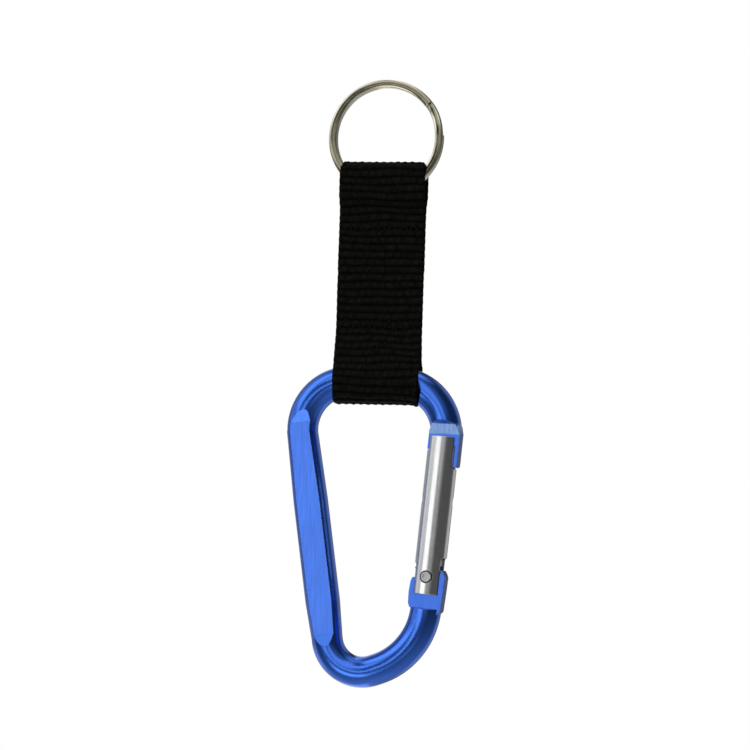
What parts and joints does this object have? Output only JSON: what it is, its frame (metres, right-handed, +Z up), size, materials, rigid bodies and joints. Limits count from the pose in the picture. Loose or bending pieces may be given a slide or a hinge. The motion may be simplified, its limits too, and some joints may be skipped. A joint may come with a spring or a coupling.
{
  "type": "carabiner keyring",
  "caption": "Flat split ring on a doubled, sewn webbing strap that hangs a D-shaped carabiner with a pressed flat spine and a sprung tube gate.",
  "frame": {"origin": "centre of the split ring", "axes": "+Z up along the hanging strap, front towards -Y, +X towards the gate side of the carabiner"},
  "size_m": [0.0447, 0.013, 0.1524],
  "materials": {
    "ring_steel": "bright nickel plate",
    "webbing": "woven, matt",
    "thread": "twisted polyester",
    "anodised_blue": "polished and blue anodised",
    "gate_metal": "polished",
    "rivet_metal": "bright",
    "plunger_metal": "turned",
    "spring_steel": "drawn wire"
  },
  "bodies": {
    "ring": {"split_ring": "ring_steel"},
    "ring_loop": {"strap_ring_loop": "webbing"},
    "strap": {"strap_front_layer": "webbing", "strap_back_layer": "webbing", "upper_stitch_row": "thread", "lower_stitch_row": "thread"},
    "carabiner_loop": {"strap_carabiner_loop": "webbing"},
    "carabiner": {"carabiner_frame": "anodised_blue"},
    "gate": {"gate_tube": "gate_metal", "gate_rivet": "rivet_metal", "gate_spring": "spring_steel"},
    "plunger": {"gate_plunger": "plunger_metal"}
  },
  "joints": [
    {"name": "ring_turn", "type": "hinge", "parent": "ring", "child": "ring_loop", "pos_m": [0, 0, 0], "axis": [0, 1, 0], "continuous": true},
    {"name": "upper_flex", "type": "hinge", "parent": "ring_loop", "child": "strap", "pos_m": [0, 0, -0.0186], "axis": [1, 0, 0], "range_deg": [-60, 60]},
    {"name": "lower_flex", "type": "hinge", "parent": "strap", "child": "carabiner_loop", "pos_m": [0, 0, -0.0504], "axis": [1, 0, 0], "range_deg": [-60, 60]},
    {"name": "carabiner_swing", "type": "hinge", "parent": "carabiner_loop", "child": "carabiner", "pos_m": [0, 0, -0.0614], "axis": [1, 0, 0], "range_deg": [-90, 90]},
    {"name": "gate_hinge", "type": "hinge", "parent": "carabiner", "child": "gate", "pos_m": [0.01475, 0, -0.1097], "axis": [0, -1, 0], "range_deg": [0, 40], "stiffness_Nm_per_rad": 0.1, "springref_deg": -28.65},
    {"name": "plunger_slide", "type": "slide", "parent": "gate", "child": "plunger", "axis": [0.0776, 0, 0.997], "range_m": [0, 0.00085], "deforming": ["gate_spring"]}
  ],
  "couplings": [
    {"joint": "plunger_slide", "follows": "gate_hinge", "m_per_rad": 0.0012}
  ]
}
